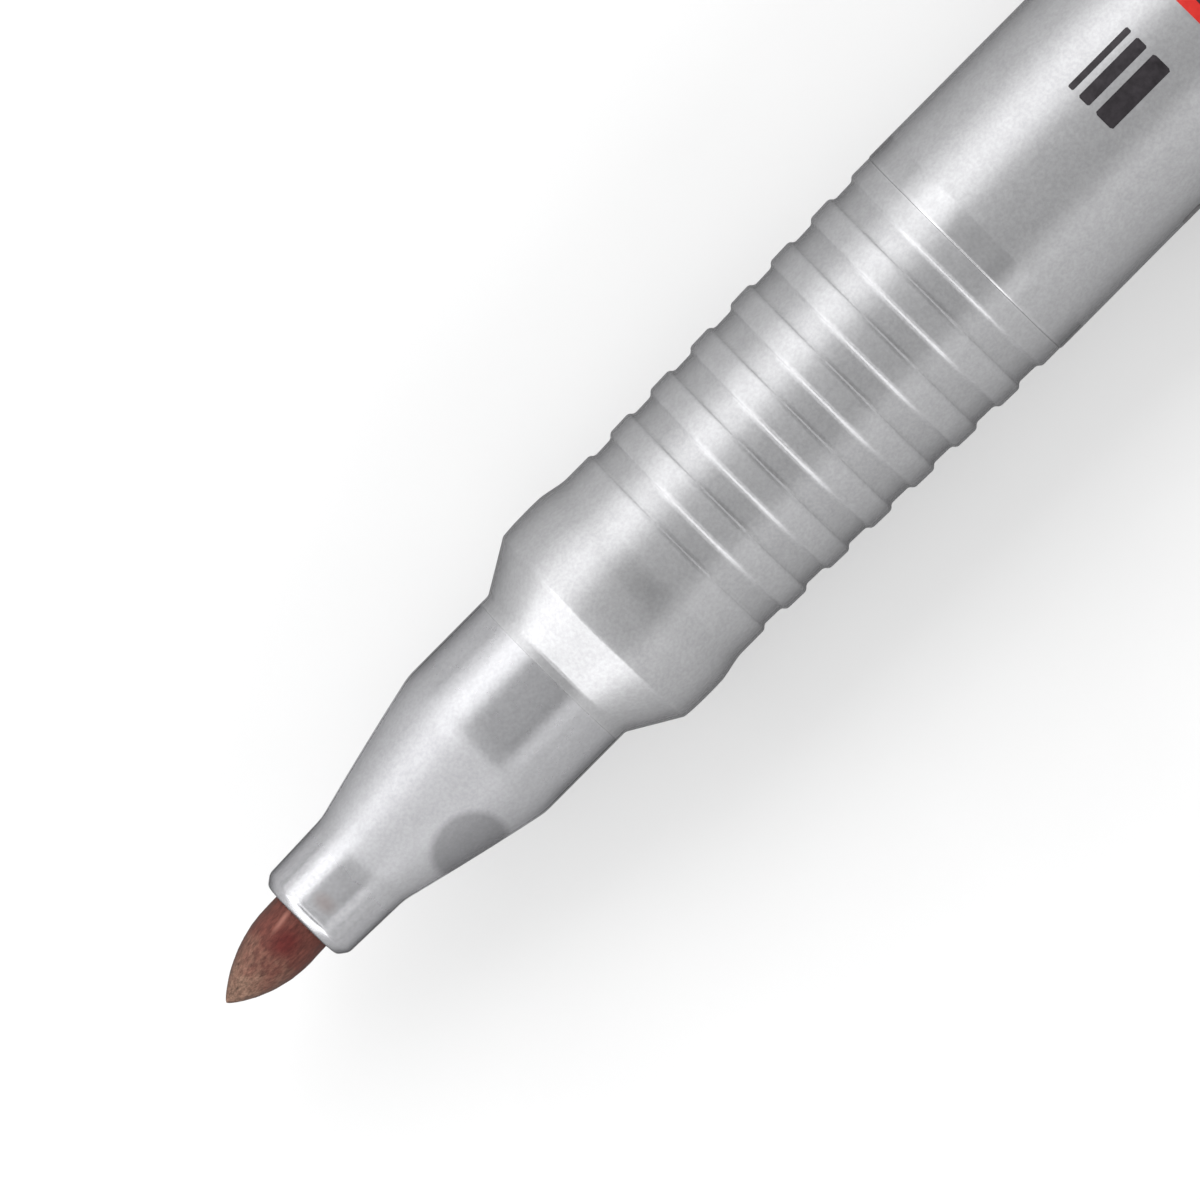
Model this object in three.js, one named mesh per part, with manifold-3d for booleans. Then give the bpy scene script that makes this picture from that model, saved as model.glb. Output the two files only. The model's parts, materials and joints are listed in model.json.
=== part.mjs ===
// A silver permanent marker with a bullet nib, lying on a table with its cap pushed on its tail.
// Sizes are in millimetres. Along the marker, a station is the distance from the tip of the nib.

import * as THREE from 'three';
import { mergeVertices, toCreasedNormals } from 'three/addons/utils/BufferGeometryUtils.js';
import Module from 'manifold-3d';

const wasm = await Module();
wasm.setup();

// Turned pieces: flat facets round the axis, with one facet under the marker. A radius is the distance
// from the axis to the middle of a facet.
const FACETS = 32;
const CREASE_ANGLE = 30;

// Fits between pieces, measured on the radius or along the axis.
const PRESS_CLEARANCE = 0.05;
const SLIDE_CLEARANCE = 0.1;
const SEAT_GAP = 0.15;
const CUT_MARGIN = 1;

// The barrel's radius. The steps and walls below are counted inwards from it.
const BARREL_RADIUS = 6.5;

// Nib: a round-nosed rod of bonded fibre.
const NIB_RADIUS = 1.685;
const NIB_POINT_LENGTH = 4.4;
const NIB_LENGTH = 36;
const NIB_EXPOSED = 5.37;
const NIB_TAIL_RADIUS = 0.8;
const NIB_TAIL_LENGTH = 1.8;
const NIB_POINT_STEPS = 9;

// Nose: the nozzle, cone and neck that hold the nib, and the spigot that plugs into the grip section.
const NOZZLE_RADIUS = 2.68;
const NOZZLE_ROOT_RADIUS = 2.8;
const NOZZLE_LENGTH = 4.17;
const NOZZLE_LIP_RADIUS = 0.75;
const NOZZLE_LIP_STEPS = 5;
const CONE_LENGTH = 7.72;
const CONE_BULGE = 0.045;
const CONE_STEPS = 6;
const NECK_STEP = 1.867;
const NECK_LENGTH = 4.93;
const NIB_HOLD_LENGTH = 10.6;
const NOSE_WALL = 1;
const NOSE_SPIGOT_LENGTH = 7;
const AIR_CHANNEL_COUNT = 4;
const AIR_CHANNEL_WIDTH = 0.5;
const AIR_CHANNEL_DEPTH = 0.38;

// Grip section: the lip round the nose, the shoulder, the collar and the ribbed finger grip.
const GRIP_LIP_LENGTH = 0.525;
const GRIP_LIP_WALL = 0.5;
const SHOULDER_LENGTH = 2.515;
const COLLAR_STEP = 0.312;
const COLLAR_LENGTH = 2.33;
const COLLAR_FALL_LENGTH = 1.825;
const COLLAR_FALL_STEPS = 5;
const WAIST_STEP = 0.58;
const WAIST_LENGTH = 1.685;
const GROOVE_FRONT_STEP = 0.778;
const GROOVE_REAR_STEP = 0.251;
const FIRST_GROOVE_WIDTH = 1.11;
const RING_COUNT = 6;
const RING_PITCH = 2.811;
const RING_WIDTH = 1.65;
const RING_HEIGHT = 0.23;
const RING_CHAMFER = 0.19;
const LAND_STEP = 0.05;
const LAND_WIDTH = 1.375;
const SPIGOT_STEP = 0.75;
const SPIGOT_WALL = 0.75;
const SPIGOT_LENGTH = 8;

// Barrel: the plain tube behind the grip.
const BARREL_LENGTH = 60.3;
const BARREL_EDGE = 0.08;
const BARREL_WALL = 1.2;
const BARREL_RIB_COUNT = 4;
const BARREL_RIB_WIDTH = 0.8;
const BARREL_RIB_LENGTH = 40;

// Snap beads, and the grooves that they click into.
const BEAD_HEIGHT = 0.12;
const BEAD_WIDTH = 0.9;
const BEAD_SETBACK = 3;

// Ink reservoir: a bundle of fibre in a film sleeve.
const FILM_GAP = 0.4;
const FILM_WALL = 0.15;
const FILM_OVERHANG = 0.3;
const RESERVOIR_GAP = 0.4;

// Tail plug: closes the barrel, and carries the cap while the marker is in use.
const PLUG_INSERT_LENGTH = 7;
const PLUG_SOCKET_DEPTH = 2;
const PLUG_WALL = 1.13;
const PLUG_BAND_LENGTH = 1.5;
const PLUG_END_WALL = 1.2;
const POST_LENGTH = 5;
const POST_END_ROUNDING = 0.6;
const POST_END_STEPS = 3;

// Cap: a shell with a sealing liner, a crown that closes its end, and a clip.
const CAP_RIM = 0.35;
const CAP_SHELL_LENGTH = 36;
const CAP_TAPER = 0.35;
const CAP_END_WALL = 0.85;
const CAP_BORE_LENGTH = 12.5;
const CAP_BEAD_STATION = 4.5;
const LINER_FLANGE_LENGTH = 1.6;
const LINER_LEDGE = 0.533;
const LINER_FUNNEL_LENGTH = 2.7;
const LINER_SEAL_GAP = 0.15;
const LINER_BORE_LENGTH = 11;
const LINER_WALL = 0.95;
const LINER_END_WALL = 1.2;
const LINER_NOTCH_DEPTH = 0.95;
const CROWN_INSERT_LENGTH = 12;
const CROWN_SHELF_WIDTH = 0.9;
const CROWN_SHELF_GAP = 0.3;
const CROWN_END_WALL = 1.6;
const CROWN_HEAD_LENGTH = 2.5;
const CROWN_EDGE_WIDTH = 1.75;
const CROWN_DOME_STEPS = 4;
const CROWN_VENT_DEPTH = 0.7;
const VENT_COUNT = 3;
const VENT_WIDTH = 1.2;

// Clip: a springy bar. Its root passes through a slot in the cap shell, with a foot under the shell.
const CLIP_WIDTH = 4;
const CLIP_THICKNESS = 1.2;
const CLIP_GAP = 1.2;
const CLIP_LENGTH = 29;
const CLIP_TIP_RADIUS = 0.5;
const CLIP_BUMP_LENGTH = 3;
const CLIP_BUMP_SETBACK = 0.8;
const CLIP_BUMP_GAP = 0.3;
const CLIP_BUMP_STEPS = 6;
const CLIP_ROOT_LENGTH = 3;
const CLIP_FOOT_LENGTH = 1;
const CLIP_FOOT_THICKNESS = 0.8;
const CLIP_CLEARANCE = 0.25;

// Radii that follow the barrel's, from the nose to the cap.
const neckRadius = BARREL_RADIUS - NECK_STEP;
const noseSocketRadius = neckRadius - GRIP_LIP_WALL;
const noseSpigotRadius = noseSocketRadius - PRESS_CLEARANCE;
const nibBoreRadius = NIB_RADIUS + PRESS_CLEARANCE;
const collarRadius = BARREL_RADIUS - COLLAR_STEP;
const waistRadius = BARREL_RADIUS - WAIST_STEP;
const landRadius = BARREL_RADIUS - LAND_STEP;
const spigotRadius = BARREL_RADIUS - SPIGOT_STEP;
const gripBoreRadius = spigotRadius - SPIGOT_WALL;
const filmRadius = gripBoreRadius - FILM_GAP;
const reservoirSocketRadius = filmRadius + SLIDE_CLEARANCE;
const barrelBoreRadius = BARREL_RADIUS - BARREL_WALL;
const capBoreRadius = neckRadius + SLIDE_CLEARANCE;
const capMouthRadius = BARREL_RADIUS - CAP_RIM;
const capEndRadius = BARREL_RADIUS - CAP_TAPER;
const capPocketRadius = capEndRadius - CAP_END_WALL;
const linerFlangeRadius = capPocketRadius - PRESS_CLEARANCE;
const linerMouthRadius = capBoreRadius - LINER_LEDGE;
const linerBoreRadius = NOZZLE_ROOT_RADIUS + LINER_SEAL_GAP;
const linerTubeRadius = linerBoreRadius + LINER_WALL;
const crownInsertRadius = capPocketRadius - PRESS_CLEARANCE;
const crownCavityRadius = linerTubeRadius - CROWN_SHELF_WIDTH;
const crownFaceRadius = capEndRadius - CROWN_EDGE_WIDTH;

// Stations along the marker.
const nozzleStation = NIB_EXPOSED;
const coneStation = nozzleStation + NOZZLE_LENGTH;
const neckStation = coneStation + CONE_LENGTH;
const gripStation = neckStation + NECK_LENGTH;
const shoulderStation = gripStation + GRIP_LIP_LENGTH;
const collarStation = shoulderStation + SHOULDER_LENGTH;
const waistStation = collarStation + COLLAR_LENGTH + COLLAR_FALL_LENGTH;
const firstGrooveStation = waistStation + WAIST_LENGTH;
const firstRingStation = firstGrooveStation + FIRST_GROOVE_WIDTH;
const landStation = firstRingStation + RING_COUNT * RING_PITCH;
const barrelStation = landStation + LAND_WIDTH;
const barrelEndStation = barrelStation + BARREL_LENGTH;
const spigotEndStation = barrelStation + SPIGOT_LENGTH;
const noseEndStation = gripStation + NOSE_SPIGOT_LENGTH;
const plugFrontStation = barrelEndStation - PLUG_INSERT_LENGTH;
const plugBandStation = barrelEndStation + PRESS_CLEARANCE;
const tailShoulderStation = plugBandStation + PLUG_BAND_LENGTH;
const filmFrontStation = noseEndStation + RESERVOIR_GAP;
const filmEndStation = plugFrontStation + PLUG_SOCKET_DEPTH - RESERVOIR_GAP;

// The shoulder at the front, the tail's shoulder and the cap's mouth share one slope.
const shoulderSlope = (collarRadius - neckRadius) / SHOULDER_LENGTH;
const postStation = tailShoulderStation + (BARREL_RADIUS - neckRadius) / shoulderSlope;
const postEndStation = postStation + POST_LENGTH;

// The cap sits where its mouth meets the tail's shoulder.
const capStation = tailShoulderStation + CAP_RIM / shoulderSlope + SEAT_GAP;
const capBoreStation = capStation + (capMouthRadius - capBoreRadius) / shoulderSlope;
const capPocketStation = capStation + CAP_BORE_LENGTH;
const capShellEndStation = capStation + CAP_SHELL_LENGTH;
const crownHeadStation = capShellEndStation + PRESS_CLEARANCE;
const crownEndStation = crownHeadStation + CROWN_HEAD_LENGTH;
const crownFrontStation = capShellEndStation - CROWN_INSERT_LENGTH;
const linerStation = capPocketStation + PRESS_CLEARANCE;
const linerBoreStation = linerStation + LINER_FUNNEL_LENGTH;
const linerBoreEndStation = linerBoreStation + LINER_BORE_LENGTH;
const linerEndStation = linerBoreEndStation + LINER_END_WALL;
const crownShelfStation = linerEndStation + CROWN_SHELF_GAP;

// The clip, seen from the side: its heights are distances from the marker's axis.
const clipRootEndStation = capShellEndStation - CLIP_CLEARANCE;
const clipRootStation = clipRootEndStation - CLIP_ROOT_LENGTH;
const clipFootStation = clipRootStation - CLIP_FOOT_LENGTH;
const clipTipStation = clipRootEndStation - CLIP_LENGTH;
const clipInnerHeight = BARREL_RADIUS + CLIP_GAP;
const clipOuterHeight = clipInnerHeight + CLIP_THICKNESS;
const clipFootTopHeight = Math.sqrt(capPocketRadius ** 2 - (CLIP_WIDTH / 2) ** 2) - CLIP_CLEARANCE;
const clipFootHeight = clipFootTopHeight - CLIP_FOOT_THICKNESS;
const clipSlotHeight = clipFootHeight - CLIP_CLEARANCE;
const clipSlotWidth = CLIP_WIDTH + 2 * CLIP_CLEARANCE;

// The marker rests on the facet under it and on the clip's lower edge.
const clipEdgeReach = Math.hypot(clipOuterHeight, CLIP_WIDTH / 2);
const clipEdgeAngle = Math.atan2(CLIP_WIDTH / 2, clipOuterHeight);
const clipAngleFromDown = Math.acos(BARREL_RADIUS / clipEdgeReach) + clipEdgeAngle;
const clipTurn = Math.PI / 2 - clipAngleFromDown;
const clipSideReach =
  clipOuterHeight * Math.sin(clipAngleFromDown) + (CLIP_WIDTH / 2) * Math.cos(clipAngleFromDown);

const silver = plastic(0xb4b5b8, 0.38, 0.55);
const nozzleSilver = plastic(0xb8b8bc, 0.3, 0.55);
const red = plastic(0xb5262a, 0.3, 0);
const whitePlastic = plastic(0xe6e4dc, 0.5, 0);
const filmPlastic = plastic(0xd8b9b4, 0.25, 0);
const inkedFibre = plastic(0x6d2f2a, 0.9, 0);
const reservoirFibre = plastic(0x8e2a28, 0.95, 0);

function plastic(color, roughness, metalness) {
  return new THREE.MeshStandardMaterial({ color, roughness, metalness });
}

function at(radius, station) {
  return new THREE.Vector2(radius, station);
}

// A solid of revolution about the marker's axis. The outline runs out, along the outside towards the
// tail, and back along the inside, or ends on the axis.
function turned(outline) {
  const cornerReach = 1 / Math.cos(Math.PI / FACETS);
  const corners = outline.map((point) => at(point.x * cornerReach, point.y));
  const closed = corners[0].x === 0 ? corners : [...corners, corners[0]];
  return new THREE.LatheGeometry(closed, FACETS, Math.PI / FACETS);
}

// A quarter round from startAngle, in degrees, about a centre on the outline's plane.
function quarterRound(centreRadius, centreStation, radius, startAngle, steps) {
  return Array.from({ length: steps + 1 }, (_, i) => {
    const angle = THREE.MathUtils.degToRad(startAngle + (90 * i) / steps);
    return at(centreRadius + radius * Math.cos(angle), centreStation + radius * Math.sin(angle));
  });
}

// A snap bead on a turned outside, or the groove for one in a bore.
function bead(radius, station, height, width) {
  return [
    at(radius, station - width / 2),
    at(radius + height, station - width / 4),
    at(radius + height, station + width / 4),
    at(radius, station + width / 2),
  ];
}

function solidOf(geometry) {
  const bare = geometry.clone();
  bare.deleteAttribute('normal');
  bare.deleteAttribute('uv');
  const merged = mergeVertices(bare, 1e-4);
  return new wasm.Manifold(
    new wasm.Mesh({
      numProp: 3,
      vertProperties: merged.attributes.position.array,
      triVerts: new Uint32Array(merged.index.array),
    })
  );
}

function geometryOf(solid) {
  const mesh = solid.getMesh();
  const geometry = new THREE.BufferGeometry();
  geometry.setAttribute('position', new THREE.BufferAttribute(new Float32Array(mesh.vertProperties), 3));
  geometry.setIndex(new THREE.BufferAttribute(new Uint32Array(mesh.triVerts), 1));
  return geometry;
}

// A block along the marker, from an inner to an outer height, turned about the marker's axis.
function radialBlock(innerHeight, outerHeight, startStation, endStation, width, turn) {
  const block = new THREE.BoxGeometry(outerHeight - innerHeight, endStation - startStation, width);
  block.translate((innerHeight + outerHeight) / 2, (startStation + endStation) / 2, 0);
  return solidOf(block.rotateY(turn));
}

function ringOfBlocks(count, firstTurn, makeBlock) {
  return Array.from({ length: count }, (_, i) => makeBlock(firstTurn + (2 * Math.PI * i) / count));
}

function piece(name, geometry, material) {
  const mesh = new THREE.Mesh(toCreasedNormals(geometry, THREE.MathUtils.degToRad(CREASE_ANGLE)), material);
  mesh.name = name;
  return mesh;
}

// The point is an arc that meets the rod's side without a corner.
function makeNib() {
  const arcRadius = (NIB_RADIUS ** 2 + NIB_POINT_LENGTH ** 2) / (2 * NIB_RADIUS);
  const point = Array.from({ length: NIB_POINT_STEPS + 1 }, (_, i) => {
    const station = (NIB_POINT_LENGTH * i) / NIB_POINT_STEPS;
    const height = Math.sqrt(arcRadius ** 2 - (NIB_POINT_LENGTH - station) ** 2) + NIB_RADIUS - arcRadius;
    return at(i === 0 ? 0 : height, station);
  });
  return turned([
    ...point,
    at(NIB_RADIUS, NIB_LENGTH - NIB_TAIL_LENGTH),
    at(NIB_TAIL_RADIUS, NIB_LENGTH),
    at(0, NIB_LENGTH),
  ]);
}

function coneOutline() {
  return Array.from({ length: CONE_STEPS + 1 }, (_, i) => {
    const t = i / CONE_STEPS;
    const straight = THREE.MathUtils.lerp(NOZZLE_ROOT_RADIUS, neckRadius, t);
    return at(straight + CONE_BULGE * 4 * t * (1 - t), coneStation + CONE_LENGTH * t);
  });
}

function makeNose() {
  const chamberRadius = noseSpigotRadius - NOSE_WALL;
  const holdEndStation = nozzleStation + NIB_HOLD_LENGTH;
  const lipCentreRadius = NOZZLE_RADIUS - NOZZLE_LIP_RADIUS;
  const neckEndStation = gripStation - PRESS_CLEARANCE;
  const body = turned([
    at(nibBoreRadius, nozzleStation),
    ...quarterRound(
      lipCentreRadius, nozzleStation + NOZZLE_LIP_RADIUS, NOZZLE_LIP_RADIUS, -90, NOZZLE_LIP_STEPS
    ),
    ...coneOutline(),
    at(neckRadius, neckEndStation),
    at(noseSpigotRadius, neckEndStation),
    ...bead(noseSpigotRadius, gripStation + BEAD_SETBACK, BEAD_HEIGHT, BEAD_WIDTH),
    at(noseSpigotRadius, noseEndStation),
    at(chamberRadius, noseEndStation),
    at(chamberRadius, holdEndStation + chamberRadius - nibBoreRadius),
    at(nibBoreRadius, holdEndStation),
  ]);
  const channels = ringOfBlocks(AIR_CHANNEL_COUNT, Math.PI / AIR_CHANNEL_COUNT, (turn) =>
    radialBlock(
      0, nibBoreRadius + AIR_CHANNEL_DEPTH, nozzleStation - CUT_MARGIN, holdEndStation + CUT_MARGIN,
      AIR_CHANNEL_WIDTH, turn
    )
  );
  return geometryOf(channels.reduce((solid, channel) => solid.subtract(channel), solidOf(body)));
}

// The collar's outside falls to the waist in a smooth S.
function collarFall() {
  return Array.from({ length: COLLAR_FALL_STEPS + 1 }, (_, i) => {
    const share = i / COLLAR_FALL_STEPS;
    const radius = THREE.MathUtils.lerp(collarRadius, waistRadius, THREE.MathUtils.smoothstep(share, 0, 1));
    return at(radius, collarStation + COLLAR_LENGTH + COLLAR_FALL_LENGTH * share);
  });
}

// The bottom of the grip's grooves, which widen evenly towards the barrel.
function grooveRadius(station) {
  const share = (station - firstGrooveStation) / (landStation - firstGrooveStation);
  return THREE.MathUtils.lerp(BARREL_RADIUS - GROOVE_FRONT_STEP, BARREL_RADIUS - GROOVE_REAR_STEP, share);
}

function gripRing(index) {
  const start = firstRingStation + index * RING_PITCH;
  const end = start + RING_WIDTH;
  const crestStart = start + RING_CHAMFER;
  const crestEnd = end - RING_CHAMFER;
  return [
    at(grooveRadius(start), start),
    at(grooveRadius(crestStart) + RING_HEIGHT, crestStart),
    at(grooveRadius(crestEnd) + RING_HEIGHT, crestEnd),
    at(grooveRadius(end), end),
  ];
}

function makeGripSection() {
  const rings = Array.from({ length: RING_COUNT }, (_, i) => gripRing(i)).flat();
  const socketEndStation = noseEndStation + SEAT_GAP;
  const socketBead = bead(noseSocketRadius, gripStation + BEAD_SETBACK, BEAD_HEIGHT, BEAD_WIDTH);
  return turned([
    at(noseSocketRadius, gripStation),
    at(neckRadius, gripStation),
    at(neckRadius, shoulderStation),
    at(collarRadius, collarStation),
    ...collarFall(),
    at(waistRadius, firstGrooveStation - RING_CHAMFER),
    at(grooveRadius(firstGrooveStation), firstGrooveStation),
    ...rings,
    at(grooveRadius(landStation), landStation),
    at(landRadius, landStation + RING_CHAMFER),
    at(landRadius, barrelStation),
    at(spigotRadius, barrelStation),
    ...bead(spigotRadius, barrelStation + BEAD_SETBACK, BEAD_HEIGHT, BEAD_WIDTH),
    at(spigotRadius, spigotEndStation),
    at(gripBoreRadius, spigotEndStation),
    at(gripBoreRadius, socketEndStation),
    at(noseSocketRadius, socketEndStation),
    ...socketBead.reverse(),
  ]);
}

function makeBarrel() {
  const frontStation = barrelStation + PRESS_CLEARANCE;
  const socketRadius = spigotRadius + PRESS_CLEARANCE;
  const socketEndStation = spigotEndStation + SEAT_GAP;
  const frontBead = bead(socketRadius, barrelStation + BEAD_SETBACK, BEAD_HEIGHT, BEAD_WIDTH);
  const rearBead = bead(barrelBoreRadius, barrelEndStation - BEAD_SETBACK, BEAD_HEIGHT, BEAD_WIDTH);
  const tube = turned([
    at(socketRadius, frontStation),
    at(BARREL_RADIUS - BARREL_EDGE, frontStation),
    at(BARREL_RADIUS, frontStation + BARREL_EDGE),
    at(BARREL_RADIUS, barrelEndStation - BARREL_EDGE),
    at(BARREL_RADIUS - BARREL_EDGE, barrelEndStation),
    at(barrelBoreRadius, barrelEndStation),
    ...rearBead.reverse(),
    at(barrelBoreRadius, socketEndStation),
    at(socketRadius, socketEndStation),
    ...frontBead.reverse(),
  ]);
  const ribStation = (socketEndStation + plugFrontStation - BARREL_RIB_LENGTH) / 2;
  const ribRootHeight = (barrelBoreRadius + BARREL_RADIUS) / 2;
  const ribs = ringOfBlocks(BARREL_RIB_COUNT, 0, (turn) =>
    radialBlock(
      reservoirSocketRadius, ribRootHeight, ribStation, ribStation + BARREL_RIB_LENGTH,
      BARREL_RIB_WIDTH, turn
    )
  );
  return geometryOf(ribs.reduce((solid, rib) => solid.add(rib), solidOf(tube)));
}

function makeReservoirFilm() {
  const innerRadius = filmRadius - FILM_WALL;
  return turned([
    at(innerRadius, filmFrontStation),
    at(filmRadius, filmFrontStation),
    at(filmRadius, filmEndStation),
    at(innerRadius, filmEndStation),
  ]);
}

// The nib is pushed into the front of the fibre bundle.
function makeReservoirCore() {
  const coreRadius = filmRadius - FILM_WALL - PRESS_CLEARANCE;
  const frontStation = filmFrontStation + FILM_OVERHANG;
  const endStation = filmEndStation - FILM_OVERHANG;
  const pocketTailRadius = NIB_TAIL_RADIUS + PRESS_CLEARANCE;
  return turned([
    at(0, NIB_LENGTH + SEAT_GAP),
    at(pocketTailRadius, NIB_LENGTH + SEAT_GAP),
    at(nibBoreRadius, NIB_LENGTH - NIB_TAIL_LENGTH + SEAT_GAP),
    at(nibBoreRadius, frontStation),
    at(coreRadius, frontStation),
    at(coreRadius, endStation),
    at(0, endStation),
  ]);
}

function makeTailPlug() {
  const insertRadius = barrelBoreRadius - PRESS_CLEARANCE;
  const cavityRadius = neckRadius - PLUG_WALL;
  const socketEndStation = plugFrontStation + PLUG_SOCKET_DEPTH;
  const roundCentre = neckRadius - POST_END_ROUNDING;
  return turned([
    at(0, postEndStation - PLUG_END_WALL),
    at(cavityRadius, postEndStation - PLUG_END_WALL),
    at(cavityRadius, socketEndStation),
    at(reservoirSocketRadius, socketEndStation),
    at(reservoirSocketRadius, plugFrontStation),
    at(insertRadius, plugFrontStation),
    ...bead(insertRadius, barrelEndStation - BEAD_SETBACK, BEAD_HEIGHT, BEAD_WIDTH),
    at(insertRadius, plugBandStation),
    at(BARREL_RADIUS - BARREL_EDGE, plugBandStation),
    at(BARREL_RADIUS, plugBandStation + BARREL_EDGE),
    at(BARREL_RADIUS, tailShoulderStation),
    at(neckRadius, postStation),
    ...quarterRound(roundCentre, postEndStation - POST_END_ROUNDING, POST_END_ROUNDING, 0, POST_END_STEPS),
    at(0, postEndStation),
  ]);
}

function makeCapShell() {
  const gripBead = bead(capBoreRadius, capStation + CAP_BEAD_STATION, -PRESS_CLEARANCE, BEAD_WIDTH);
  const shell = turned([
    at(capBoreRadius, capBoreStation),
    at(capMouthRadius, capStation),
    at(BARREL_RADIUS - BARREL_EDGE, capStation),
    at(BARREL_RADIUS, capStation + BARREL_EDGE),
    at(capEndRadius, capShellEndStation),
    at(capPocketRadius, capShellEndStation),
    at(capPocketRadius, capPocketStation),
    at(capBoreRadius, capPocketStation),
    ...gripBead.reverse(),
  ]);
  const slot = radialBlock(
    clipSlotHeight, clipOuterHeight, clipRootStation - CLIP_CLEARANCE, capShellEndStation + CUT_MARGIN,
    clipSlotWidth, clipTurn
  );
  return geometryOf(solidOf(shell).subtract(slot));
}

// Notches round the crown and the liner's flange let air through a cap.
function ventBlocks(innerHeight, startStation, endStation) {
  return ringOfBlocks(VENT_COUNT, clipTurn + Math.PI / VENT_COUNT, (turn) =>
    radialBlock(
      innerHeight, BARREL_RADIUS, startStation - CUT_MARGIN, endStation + CUT_MARGIN, VENT_WIDTH, turn
    )
  );
}

function makeCapLiner() {
  const flangeEndStation = linerStation + LINER_FLANGE_LENGTH;
  const liner = turned([
    at(0, linerBoreEndStation),
    at(linerBoreRadius, linerBoreEndStation),
    at(linerBoreRadius, linerBoreStation),
    at(linerMouthRadius, linerStation),
    at(linerFlangeRadius, linerStation),
    at(linerFlangeRadius, flangeEndStation),
    at(linerTubeRadius, flangeEndStation),
    at(linerTubeRadius, linerEndStation),
    at(0, linerEndStation),
  ]);
  const notches = ventBlocks(linerFlangeRadius - LINER_NOTCH_DEPTH, linerStation, flangeEndStation);
  return geometryOf(notches.reduce((solid, notch) => solid.subtract(notch), solidOf(liner)));
}

// The domed edge of the crown runs from the shell's radius to the flat end face.
function crownDome() {
  const drop = capEndRadius - crownFaceRadius;
  const straight = CROWN_HEAD_LENGTH / 2;
  const rise = CROWN_HEAD_LENGTH - straight;
  return Array.from({ length: CROWN_DOME_STEPS + 1 }, (_, i) => {
    const angle = (Math.PI / 2) * (i / CROWN_DOME_STEPS);
    const radius = crownFaceRadius + drop * Math.cos(angle);
    return at(radius, crownHeadStation + straight + rise * Math.sin(angle));
  });
}

function makeCapCrown() {
  const socketRadius = linerTubeRadius + PRESS_CLEARANCE;
  const cavityEndStation = crownHeadStation + CROWN_HEAD_LENGTH - CROWN_END_WALL;
  const crown = turned([
    at(0, cavityEndStation),
    at(crownCavityRadius, cavityEndStation),
    at(crownCavityRadius, crownShelfStation),
    at(socketRadius, crownShelfStation),
    at(socketRadius, crownFrontStation),
    at(crownInsertRadius, crownFrontStation),
    at(crownInsertRadius, crownHeadStation),
    at(capEndRadius, crownHeadStation),
    ...crownDome(),
    at(0, crownEndStation),
  ]);
  const slot = radialBlock(
    clipSlotHeight, BARREL_RADIUS, clipFootStation - CLIP_CLEARANCE, crownHeadStation, clipSlotWidth, clipTurn
  );
  const vents = ventBlocks(crownInsertRadius - CROWN_VENT_DEPTH, crownFrontStation, crownEndStation);
  return geometryOf(vents.reduce((solid, vent) => solid.subtract(vent), solidOf(crown).subtract(slot)));
}

// The clip's side outline, drawn with its height across and its station up, then given its width.
function makeCapClip() {
  const shellRadiusAt = (station) =>
    THREE.MathUtils.lerp(BARREL_RADIUS, capEndRadius, (station - capStation) / CAP_SHELL_LENGTH);
  const bumpStation = clipTipStation + CLIP_BUMP_SETBACK;
  const bumpHeight = clipInnerHeight - shellRadiusAt(bumpStation) - CLIP_BUMP_GAP;
  const bump = Array.from({ length: CLIP_BUMP_STEPS + 1 }, (_, i) => {
    const share = i / CLIP_BUMP_STEPS;
    const height = clipInnerHeight - bumpHeight * Math.sin(Math.PI * share);
    return at(height, bumpStation + CLIP_BUMP_LENGTH * share);
  });
  const outline = [
    at(clipInnerHeight, clipTipStation),
    at(clipOuterHeight - CLIP_TIP_RADIUS, clipTipStation),
    at(clipOuterHeight, clipTipStation + CLIP_TIP_RADIUS),
    at(clipOuterHeight, clipRootEndStation - CLIP_TIP_RADIUS),
    at(clipOuterHeight - CLIP_TIP_RADIUS, clipRootEndStation),
    at(clipFootHeight, clipRootEndStation),
    at(clipFootHeight, clipFootStation),
    at(clipFootTopHeight, clipFootStation),
    at(clipFootTopHeight, clipRootStation),
    at(clipInnerHeight, clipRootStation),
    ...bump.reverse(),
  ];
  const bar = new THREE.ExtrudeGeometry(new THREE.Shape(outline), { depth: CLIP_WIDTH, bevelEnabled: false });
  bar.translate(0, 0, -CLIP_WIDTH / 2);
  return bar.rotateY(clipTurn);
}

const cap = new THREE.Group();
cap.add(
  piece('cap_shell', makeCapShell(), red),
  piece('cap_liner', makeCapLiner(), whitePlastic),
  piece('cap_crown', makeCapCrown(), red),
  piece('cap_clip', makeCapClip(), red)
);

const marker = new THREE.Group();
marker.add(
  piece('nib', makeNib(), inkedFibre),
  piece('nib_holder', makeNose(), nozzleSilver),
  piece('grip_section', makeGripSection(), silver),
  piece('barrel', makeBarrel(), silver),
  piece('reservoir_film', makeReservoirFilm(), filmPlastic),
  piece('reservoir_core', makeReservoirCore(), reservoirFibre),
  piece('tail_plug', makeTailPlug(), red),
  cap
);

// The marker lies along X with its nib towards -X, centred on the ground under its own outline.
marker.rotation.z = -Math.PI / 2;
marker.position.set(-crownEndStation / 2, (clipSideReach - BARREL_RADIUS) / 2, BARREL_RADIUS);

const part = new THREE.Group();
part.add(marker);

export default part;
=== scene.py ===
# Dresses the marker: finely turned pieces, moulded plastic, fibre and ink, the table, the lamps and the
# camera. Sizes are in millimetres, and a station is the distance along the marker from the nib's tip.

import json
import math

import bmesh
import bpy
from mathutils import Matrix, Vector, noise


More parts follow.
